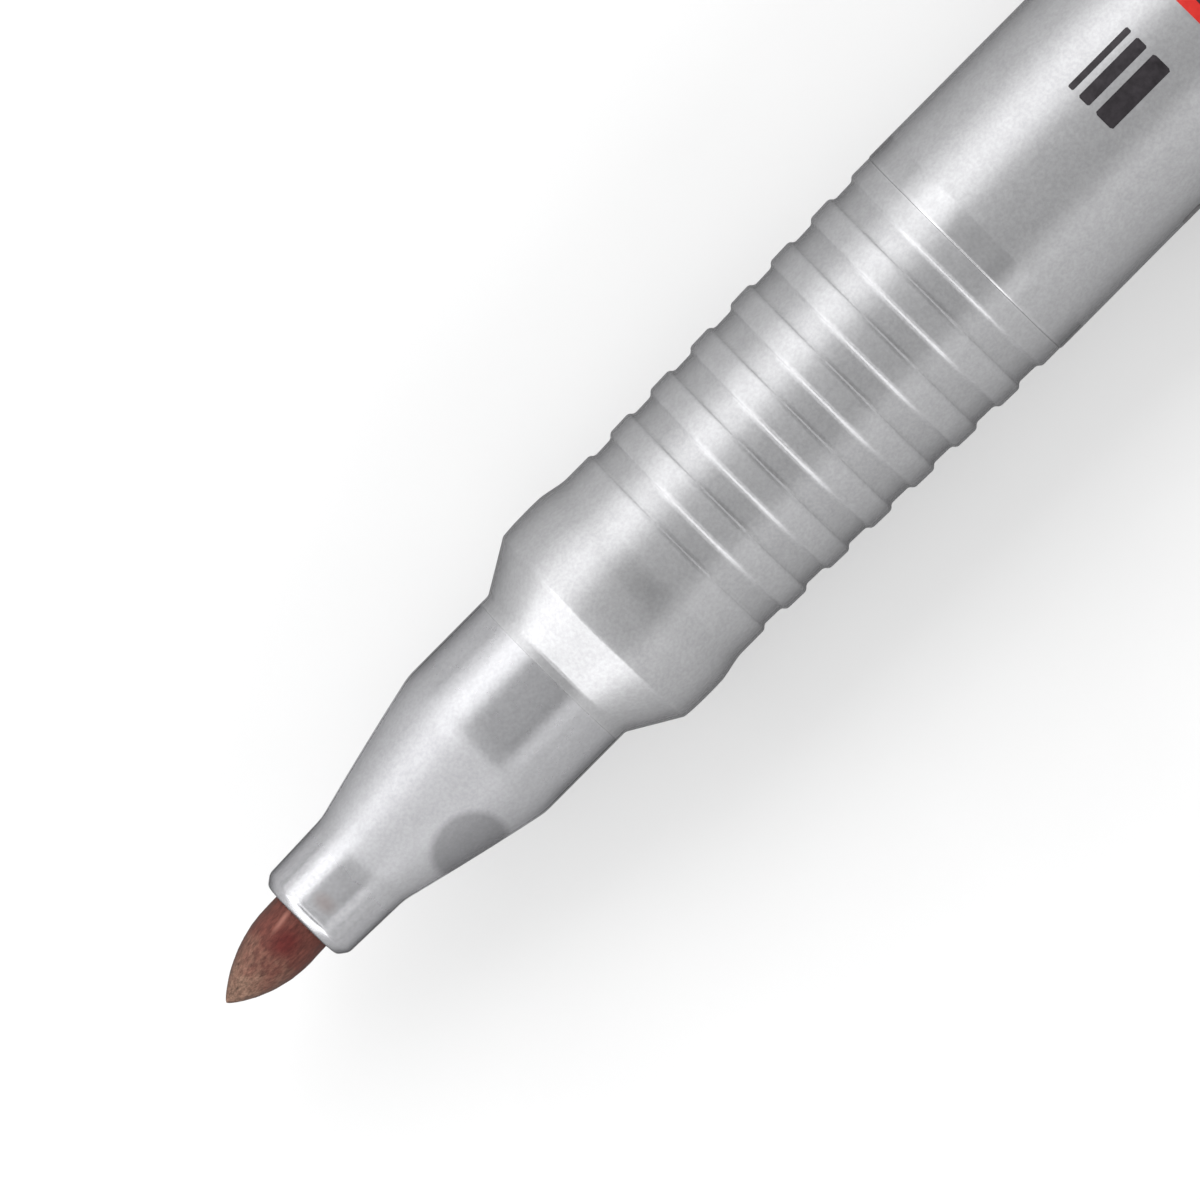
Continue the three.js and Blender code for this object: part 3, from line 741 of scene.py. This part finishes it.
# The barrel starts with a smoother band. The nose is glossy at the nozzle and the neck, and dull between.
SILVER = silver_paint(
    "silver_plastic",
    dark=(0.345, 0.345, 0.353),
    light=(0.37, 0.37, 0.378),
    rough=(0.37, 0.41),
    grain=0.055,
    relief=0.25,
    bands=[(BARREL_AT, BARREL_BAND_AT, 0.02, 0.76, 0.3)],
)
NOSE_SILVER = silver_paint(
    "nose_plastic",
    dark=(0.352, 0.352, 0.364),
    light=(0.372, 0.372, 0.384),
    rough=(0.27, 0.31),
    grain=0.05,
    relief=0.05,
    bands=[(NOZZLE_AT, CONE_AT - 0.6, 0.3, 0.88, 1), (CONE_AT, NECK_AT, 1.1, 1.7, 7)],
)
RED = red_plastic()
WHITE = white_plastic()
FILM = film_plastic()
RESERVOIR = reservoir_fibre()
NIB = nib_fibre()
DARK_INK = ink("dark_ink", (0.012, 0.010, 0.012), (0.030, 0.026, 0.030))
RED_INK = ink("red_ink", (0.42, 0.016, 0.012), (0.48, 0.024, 0.018))


def dress(piece, material, body, slot, *nodes):
    """Gives the piece its material and its body, and hides the nodes that it stands for. slot is not used.
    """
    piece.data.materials.clear()
    piece.data.materials.append(material)
    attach(piece, body)
    if nodes:
        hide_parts(*nodes)
    return piece


def repaint(node, material):
    for slot in frame["nodes"][node].material_slots:
        slot.material = material


# The nib. Its point is a little fuller than an arc, and its fibres leave dents and raised strands.

BLUNTNESS = 0.07
BLUNT_START = 0.08
BLUNT_FADE = 1.2
FUZZ_END = 6.5
FUZZ_ALONG = 1.3
FUZZ_AROUND = 4.5
COARSE_FUZZ = 0.014
FINE_FUZZ = 0.008
FINE_FUZZ_SCALE = 2.7


def nib_radius(station):
    if station >= NIB_POINT:
        return NIB_R
    arc = (NIB_R ** 2 + NIB_POINT ** 2) / (2 * NIB_R)
    curve = math.sqrt(arc ** 2 - (NIB_POINT - station) ** 2) + NIB_R - arc
    return curve + BLUNTNESS * (1 - math.exp(-station / BLUNT_START)) * math.exp(-station / BLUNT_FADE)


def fuzz(station, radius, angle):
    if station > FUZZ_END or radius < 0.05:
        return radius
    y = math.cos(angle) * radius * FUZZ_AROUND
    z = math.sin(angle) * radius * FUZZ_AROUND
    around = Vector((station * FUZZ_ALONG, y, z))
    height = noise.noise(around) * COARSE_FUZZ + noise.noise(around * FINE_FUZZ_SCALE) * FINE_FUZZ
    return radius + height * min(1, radius / 0.8)


def build_nib():
    corners = [(0, 0, 0)]
    for i in range(1, NIB_STEPS + 1):
        station = NIB_SHOWN * (i / NIB_STEPS) ** 1.25
        corners.append((station, nib_radius(station), 0))
    corners += [
        (NIB_TAPER_AT, NIB_R, 0.05),
        (NIB_END_AT, NIB_TAIL_R, 0.05),
        (NIB_END_AT, 0, 0),
    ]
    piece = turned("nib_point", corners, fuzz)
    for vertex in piece.data.vertices:
        station = vertex.co.x / MM + LENGTH / 2
        vertex.co.y -= NIB_LEAN * MM * max(0, 1 - station / NOZZLE_AT)
    piece.data.set_sharp_from_angle(angle=math.radians(60))
    dress(piece, NIB, "marker", "nib_fibre", "nib")


# The nose.

def nose_channels(station, radius, angle):
    """Four air channels along the bore that holds the nib."""
    if abs(radius - NIB_BORE_R) > 0.04:
        return radius
    quarter = (angle - math.pi / 4) % (math.pi / 2)
    away = min(quarter, math.pi / 2 - quarter)
    return radius + AIR_CHANNEL_DEPTH if away * radius < AIR_CHANNEL_WIDTH / 2 else radius


def build_nose():
    cone = []
    for i in range(1, CURVE_STEPS):
        t = i / CURVE_STEPS
        radius = lerp(NOZZLE_R, NECK_R, t) + CONE_BELLY * 4 * t * (1 - t)
        cone.append((lerp(CONE_AT, NECK_AT, t), radius, 0))
    corners = [
        (NOZZLE_AT, NIB_BORE_R, 0.03),
        (NOZZLE_AT, LIP_R, 0.35),
        (LIP_AT, LIP_END_R, 0.55),
        (CONE_AT, NOZZLE_R, 4.5),
        *cone,
        (NECK_AT, NECK_R, 5.0),
        (GRIP_AT - SEAM, NECK_R, 0.008),
        (GRIP_AT - SEAM, SPIGOT_R, 0.02),
        (NOSE_END_AT, SPIGOT_R, 0.1),
        (NOSE_END_AT, SPIGOT_BORE_R, 0.05),
        (FUNNEL_AT, SPIGOT_BORE_R, 0.1),
        (NIB_HELD_AT, NIB_BORE_R, 0.03),
    ]
    piece = turned("nose", corners, nose_channels)
    dress(piece, NOSE_SILVER, "marker", "nose_plastic", "nib_holder")


# The grip section.

def groove_radius(station):
    return lerp(GROOVE_FRONT_R, GROOVE_REAR_R, (station - GROOVE_AT) / (LAND_AT - GROOVE_AT))


def build_grip():
    # The collar is slightly crowned, and falls to the waist in a smooth curve.
    collar = []
    for i in range(CURVE_STEPS + 1):
        t = i / CURVE_STEPS
        crown = COLLAR_SWELL - COLLAR_CROWN * (1 - t) ** 3
        collar.append((lerp(COLLAR_AT, COLLAR_TOP_AT, t), COLLAR_R + crown, 0.4 if i == 0 else 0))
    fall = []
    for i in range(1, CURVE_STEPS):
        t = i / CURVE_STEPS
        fall.append((lerp(FALL_AT, WAIST_AT, t), lerp(COLLAR_R, WAIST_R, t * t * (3 - 2 * t)), 0))
    rings = []
    for i in range(RING_COUNT):
        start = RING_AT + i * RING_PITCH
        end = start + RING_WIDTH
        crest = start + RING_CHAMFER
        crest_end = end - RING_CHAMFER
        rings += [
            (start, groove_radius(start), RING_FOOT),
            (crest, groove_radius(crest) + RING_HEIGHT, RING_ROUND),
            (crest_end, groove_radius(crest_end) + RING_HEIGHT, RING_ROUND),
            (end, groove_radius(end), RING_FOOT),
        ]
    corners = [
        (GRIP_AT, SPIGOT_R + FIT, 0.02),
        (GRIP_AT, NECK_R, 0.008),
        (SHOULDER_AT, NECK_R, 0.45),
        *collar,
        (FALL_AT, COLLAR_R, 0),
        *fall,
        (WAIST_AT, WAIST_R, 0),
        (GROOVE_AT - RING_CHAMFER, WAIST_R, RING_ROUND),
        (GROOVE_AT, groove_radius(GROOVE_AT), RING_FOOT),
        *rings,
        (LAND_AT, groove_radius(LAND_AT), RING_FOOT),
        (LAND_AT + RING_CHAMFER, LAND_R, RING_ROUND),
        (BARREL_AT, LAND_R, 0.02),
        (BARREL_AT, LAND_R - LAP, 0.03),
        (GRIP_END_AT, LAND_R - LAP, 0.1),
        (GRIP_END_AT, GRIP_BORE_R, 0.05),
        (NOSE_END_AT + END_GAP, GRIP_BORE_R, 0.05),
        (NOSE_END_AT + END_GAP, SPIGOT_R + FIT, 0.05),
    ]
    piece = turned("grip", corners, soft=(WAIST_AT, BARREL_AT - 0.2))
    dress(piece, SILVER, "marker", "silver_plastic", "grip_section")


# The barrel and its print.

def build_barrel():
    front = BARREL_AT + SEAM
    corners = [
        (front, BARREL_R - LAP, 0.02),
        (front, BARREL_FRONT_R, 0.03),
        (front + BARREL_EASE, BARREL_EASED_R, 0.15),
        (BARREL_BAND_AT, BARREL_R, 0),
        (BARREL_END_AT, BARREL_R, 0.09),
        (BARREL_END_AT, BARREL_BORE_R, 0.05),
        (GRIP_END_AT + END_GAP, BARREL_BORE_R, 0.05),
        (GRIP_END_AT + END_GAP, BARREL_R - LAP, 0.05),
    ]
    piece = turned("barrel_tube", corners)
    dress(piece, SILVER, "marker", "silver_plastic", "barrel")


def ink_patch(name, start, end, low_angle, high_angle, material, slot, rounding=0.25):
    """A skin of ink on the barrel, with rounded corners unless it goes all the way round."""
    whole = high_angle - low_angle >= 2 * math.pi - 1e-6
    inner, outer = BARREL_R - INK_DEPTH, BARREL_R + INK_HEIGHT
    count = max(8, round(SEGMENTS * (high_angle - low_angle) / (2 * math.pi)))
    grid = bmesh.new()
    columns = []
    for j in range(count if whole else count + 1):
        angle = lerp(low_angle, high_angle, j / count)
        side = min(angle - low_angle, high_angle - angle) * BARREL_R
        inset = 0.0
        if not whole and side < rounding:
            inset = rounding - math.sqrt(max(0, rounding ** 2 - (rounding - side) ** 2))
        low, high = start + inset, end - inset
        corners = ((low, inner), (low, outer), (high, outer), (high, inner))
        columns.append([grid.verts.new(at(station, radius, angle)) for station, radius in corners])
    for first, second in neighbours(columns, whole):
        for i in range(4):
            k = (i + 1) % 4
            grid.faces.new((first[i], second[i], second[k], first[k]))
    if not whole:
        grid.faces.new(columns[0])
        grid.faces.new(columns[-1][::-1])
    mesh = mesh_of(name, grid)
    mesh.shade_smooth()
    mesh.set_sharp_from_angle(angle=math.radians(40))
    dress(link(name, mesh), material, "marker", slot)


# The strokes that stand where the barrel is marked: width, and the middle's angle in degrees.
STROKES = ((0.35, -17.5), (0.7, -9.5), (1.15, 2.5))
PANEL_TURNS = (math.radians(76), math.radians(170))


def build_print():
    turn = (0, 2 * math.pi)
    ink_patch("print_red_band", WRAP_AT - WRAP_EDGE, WRAP_AT, *turn, RED_INK, "red_ink")
    ink_patch("print_dark_wrap", WRAP_AT, WRAP_END_AT, *turn, DARK_INK, "dark_ink")
    ink_patch("print_red_band_rear", WRAP_END_AT, WRAP_END_AT + WRAP_EDGE, *turn, RED_INK, "red_ink")
    ink_patch("print_side_panel", PANEL_AT, WRAP_AT - WRAP_EDGE, *PANEL_TURNS, DARK_INK, "dark_ink")
    for i, (width, centre) in enumerate(STROKES):
        half = width / 2 / BARREL_R
        middle = math.radians(centre)
        turns = (middle - half, middle + half)
        ink_patch(f"print_stroke_{i + 1}", STROKES_AT, STROKES_END_AT, *turns, DARK_INK, "dark_ink", 0.08)


# The tail plug.

def gate_mark(station):
    """The dimple in an end face, where the plastic came into the mould."""
    return [
        (station, GATE_R, 0.05),
        (station - GATE_DEPTH, GATE_R - GATE_DEPTH, 0.05),
        (station - GATE_DEPTH, 0, 0),
    ]


def build_tail_plug():
    corners = [
        (POST_BORE_END_AT, 0, 0),
        (POST_BORE_END_AT, POST_BORE_R, 0.1),
        (PLUG_STEP_AT, POST_BORE_R, 0.1),
        (PLUG_STEP_AT, PLUG_BORE_R, 0.05),
        (PLUG_AT, PLUG_BORE_R, 0.05),
        (PLUG_AT, BARREL_BORE_R - FIT, 0.08),
        (BARREL_END_AT + FIT, BARREL_BORE_R - FIT, 0.03),
        (BARREL_END_AT + FIT, BARREL_R, 0.09),
        (TAIL_SHOULDER_AT, BARREL_R, 0.12),
        (POST_AT, NECK_R, 0.15),
        (POST_END_AT, NECK_R, 0.6),
        *gate_mark(POST_END_AT),
    ]
    dress(turned("tail", corners), RED, "marker", "red_plastic", "tail_plug")


# The cap.

def build_cap_shell():
    corners = [
        (CAP_BORE_AT, CAP_BORE_R, 0.1),
        (CAP_AT, CAP_MOUTH_R, 0.08),
        (CAP_AT, BARREL_R, 0.14),
        (CAP_END_AT, CAP_END_R, 0.1),
        (CAP_END_AT, CAP_POCKET_R, 0.05),
        (CAP_POCKET_AT, CAP_POCKET_R, 0.05),
        (CAP_POCKET_AT, CAP_BORE_R, 0.05),
        (CAP_BEAD_AT + BEAD_LENGTH / 2, CAP_BORE_R, 0),
        (CAP_BEAD_AT + BEAD_LENGTH / 4, CAP_BORE_R - BEAD_HEIGHT, 0),
        (CAP_BEAD_AT - BEAD_LENGTH / 4, CAP_BORE_R - BEAD_HEIGHT, 0),
        (CAP_BEAD_AT - BEAD_LENGTH / 2, CAP_BORE_R, 0),
    ]
    piece = turned("cap_body", corners)
    slot = slot_cutter(CLIP_ROOT_AT - CLIP_CLEARANCE, CAP_END_AT + 1, CLIP_OUTER_R)
    dress(cut(piece, slot), RED, "cap", "red_plastic", "cap_shell")


def build_cap_liner():
    corners = [
        (LINER_BORE_END_AT, 0, 0),
        (LINER_BORE_END_AT, LINER_BORE_R, 0.3),
        (LINER_BORE_AT, LINER_BORE_R, 0.3),
        (LINER_AT, LINER_MOUTH_R, 0.05),
        (LINER_AT, LINER_R, 0.08),
        (LINER_FLANGE_AT, LINER_R, 0.08),
        (LINER_FLANGE_AT, LINER_TUBE_R, 0.2),
        (LINER_END_AT, LINER_TUBE_R, 0.3),
        (LINER_END_AT, 0, 0),
    ]
    piece = turned("cap_inner_cup", corners, vented(LINER_NOTCH_R, LINER_R))
    dress(piece, WHITE, "cap", "white_plastic", "cap_liner")


def build_cap_crown():
    dome = []
    for i in range(CURVE_STEPS + 1):
        angle = math.pi / 2 * i / CURVE_STEPS
        station = CROWN_HEAD_AT + DOME_LENGTH + DOME_LENGTH * math.sin(angle)
        dome.append((station, DOME_R + DOME_SPREAD * math.cos(angle), 0))
    corners = [
        (CROWN_FLOOR_AT, 0, 0),
        (CROWN_FLOOR_AT, CROWN_HOLLOW_R, 0.1),
        (LINER_END_AT + LINER_GAP, CROWN_HOLLOW_R, 0.05),
        (LINER_END_AT + LINER_GAP, CROWN_BORE_R, 0.05),
        (CROWN_FRONT_AT, CROWN_BORE_R, 0.08),
        (CROWN_FRONT_AT, CAP_POCKET_R - FIT, 0.1),
        (CROWN_HEAD_AT, CAP_POCKET_R - FIT, 0.03),
        (CROWN_HEAD_AT, CAP_END_R, 0.08),
        *dome,
        *gate_mark(LENGTH),
    ]
    piece = turned("crown", corners, vented(CROWN_NOTCH_R, CAP_END_R))
    slot = slot_cutter(CLIP_FOOT_AT - CLIP_CLEARANCE, CROWN_HEAD_AT, BARREL_R)
    dress(cut(piece, slot), RED, "cap", "red_plastic", "cap_crown")


def clip_outline():
    """Stations and heights round the clip's side: the arm, the root, the foot and the bump."""
    outline = [
        (CLIP_AT, CLIP_INNER_R),
        (CLIP_AT, CLIP_OUTER_R),
        (CLIP_END_AT, CLIP_OUTER_R),
        (CLIP_END_AT, CLIP_FOOT_R),
        (CLIP_FOOT_AT, CLIP_FOOT_R),
        (CLIP_FOOT_AT, CLIP_FOOT_TOP_R),
        (CLIP_ROOT_AT, CLIP_FOOT_TOP_R),
        (CLIP_ROOT_AT, CLIP_INNER_R),
    ]
    shell = lerp(BARREL_R, CAP_END_R, (CLIP_BUMP_AT - CAP_AT) / (CAP_END_AT - CAP_AT))
    bump_height = CLIP_INNER_R - shell - CLIP_BUMP_GAP
    steps = 20
    for i in range(steps, -1, -1):
        t = i / steps
        height = CLIP_INNER_R - bump_height * math.sin(math.pi * t)
        outline.append((CLIP_BUMP_AT + CLIP_BUMP_LENGTH * t, height))
    return outline


def build_cap_clip():
    outline = clip_outline()
    grid = bmesh.new()
    sides = []
    for half in (-CLIP_WIDTH / 2, CLIP_WIDTH / 2):
        sides.append([grid.verts.new(clip_point(station, height, half)) for station, height in outline])
    grid.faces.new(sides[0])
    grid.faces.new(sides[1][::-1])
    for first, second in neighbours(list(zip(*sides)), True):
        grid.faces.new((first[0], first[1], second[1], second[0]))
    mesh = mesh_of("pocket_clip", grid)
    mesh.shade_smooth()
    piece = link("pocket_clip", mesh)
    bevel = piece.modifiers.new("edges", "BEVEL")
    bevel.width = CLIP_EDGE * MM
    bevel.use_clamp_overlap = False
    bevel.segments = 5
    bevel.limit_method = "ANGLE"
    bevel.angle_limit = math.radians(40)
    bevel.harden_normals = True
    evaluated(piece)
    dress(piece, RED, "clip", "red_plastic", "cap_clip")


build_nib()
build_nose()
build_grip()
build_barrel()
build_print()
build_tail_plug()
build_cap_shell()
build_cap_liner()
build_cap_crown()
build_cap_clip()
repaint("reservoir_film", FILM)
repaint("reservoir_core", RESERVOIR)


# The table, the lamps and the camera.

TABLE_HALF = 1.5
TABLE_DROP = 0.00003


def build_floor():
    mesh = bpy.data.meshes.new("table_top")
    corners = [(x * TABLE_HALF, y * TABLE_HALF, 0) for x, y in ((-1, -1), (1, -1), (1, 1), (-1, 1))]
    mesh.from_pydata(corners, [], [(0, 1, 2, 3)])
    floor = link("table_top", mesh)
    floor.location.z = -TABLE_DROP
    paint = Paint("table", Roughness=0.9)
    paint.shader.inputs["Specular IOR Level"].default_value = 0.1
    paint.color(paint.blend(paint.noise(40, 3), (0.47, 0.47, 0.47), (0.49, 0.49, 0.49)))
    paint.shader.inputs["Emission Color"].default_value = (1, 1, 1, 1)
    paint.shader.inputs["Emission Strength"].default_value = 0.3
    # The table can't be seen from below.
    side = paint.node("ShaderNodeMixShader")
    paint.join(paint.node("ShaderNodeNewGeometry").outputs["Backfacing"], side.inputs["Fac"])
    paint.join(paint.shader.outputs["BSDF"], side.inputs[1])
    paint.join(paint.node("ShaderNodeBsdfTransparent").outputs["BSDF"], side.inputs[2])
    output = next(n for n in paint.tree.nodes if n.type == "OUTPUT_MATERIAL")
    paint.join(side.outputs["Shader"], output.inputs["Surface"])
    mesh.materials.append(paint.material)


# The lamps stand round a point of the marker: name, elevation, heading from +X towards +Y, height as an
# angle, width in metres, and brightness with 1 as white.
LAMP_DISTANCE = 0.6
LAMP_TARGET = Vector((-0.03, 0, 0.006))
LAMPS = (
    ("key", 36, 90, 24, 1.6, 2.75),
    ("key_top", 54, 90, 14, 1.1, 2.2),
    ("key_low", 14, 90, 18, 1.6, 1.5),
    ("edge", 12, -90, 22, 1.6, 1.0),
    ("edge_top", 38, -90, 24, 1.6, 1.35),
    ("nib_top", 63, 180, 14, 0.9, 2.05),
    ("nib_side", 20, 180, 34, 1.1, 3.2),
    ("tail_side", 22, 0, 26, 0.8, 1.5),
)


def lamp(name, elevation, heading, spread, width, level):
    """A soft box that faces the marker."""
    height = 2 * LAMP_DISTANCE * math.tan(math.radians(spread / 2))
    light = bpy.data.lights.new(name, "AREA")
    light.shape = "RECTANGLE"
    light.size = width
    light.size_y = height
    light.energy = level * math.pi * width * height
    piece = link(name, light)
    up, turn = math.radians(elevation), math.radians(heading)
    away = Vector((math.cos(up) * math.cos(turn), math.cos(up) * math.sin(turn), math.sin(up)))
    piece.location = LAMP_TARGET + away * LAMP_DISTANCE
    piece.rotation_euler = away.to_track_quat("Z", "Y").to_euler()


def build_world():
    world = bpy.data.worlds.new("studio")
    bpy.context.scene.world = world
    world.use_nodes = True
    tree = world.node_tree
    background = tree.nodes["Background"]
    place = tree.nodes.new("ShaderNodeTexCoord")
    split = tree.nodes.new("ShaderNodeSeparateXYZ")
    ramp = tree.nodes.new("ShaderNodeValToRGB")
    # The height of a direction, from 0 at the horizon to 1 overhead, and the brightness there.
    stops = ((0.0, 0.20), (0.35, 0.22), (0.84, 0.30), (0.93, 0.66))
    while len(ramp.color_ramp.elements) < len(stops):
        ramp.color_ramp.elements.new(0.5)
    for element, (position, level) in zip(ramp.color_ramp.elements, stops):
        element.position = position
        element.color = (level, level, level, 1)
    tree.links.new(place.outputs["Generated"], split.inputs[0])
    tree.links.new(split.outputs["Z"], ramp.inputs["Fac"])
    tree.links.new(ramp.outputs["Color"], background.inputs["Color"])


# The photograph is 1200 pixels wide, and one of them is 0.04792 mm at the marker, which points up to the
# right by 45.2 degrees. The camera stands over one station and looks at another, which is in the middle.
PHOTO_WIDTH = 1200
PIXEL = 0.04792
MARKER_SLOPE = math.radians(45.2)
VIEWED_AT = 26.34
VIEWED_SIDE = 0.685
CAMERA_AT = 60.9
CAMERA_HEIGHT = 1.15
SENSOR_WIDTH = 36


def build_camera():
    target = Vector((axial(VIEWED_AT), (AXIS_Y + VIEWED_SIDE) * MM, AXIS_Z * MM))
    place = Vector((axial(CAMERA_AT), AXIS_Y * MM, AXIS_Z * MM + CAMERA_HEIGHT))
    back = (place - target).normalized()
    right = Vector((math.cos(MARKER_SLOPE), -math.sin(MARKER_SLOPE), 0))
    right = (right - back * right.dot(back)).normalized()
    up = back.cross(right)
    camera = bpy.data.cameras.new("view")
    camera.sensor_width = SENSOR_WIDTH
    camera.lens = SENSOR_WIDTH * (place - target).length / (PHOTO_WIDTH * PIXEL * MM)
    camera.clip_start = 0.01
    camera.clip_end = 20
    piece = link("view", camera)
    piece.matrix_world = Matrix((
        (right.x, up.x, back.x, place.x),
        (right.y, up.y, back.y, place.y),
        (right.z, up.z, back.z, place.z),
        (0, 0, 0, 1),
    ))
    bpy.context.scene.camera = piece


build_floor()
build_world()
for light in LAMPS:
    lamp(*light)
build_camera()
bpy.context.scene.view_settings.view_transform = "Standard"
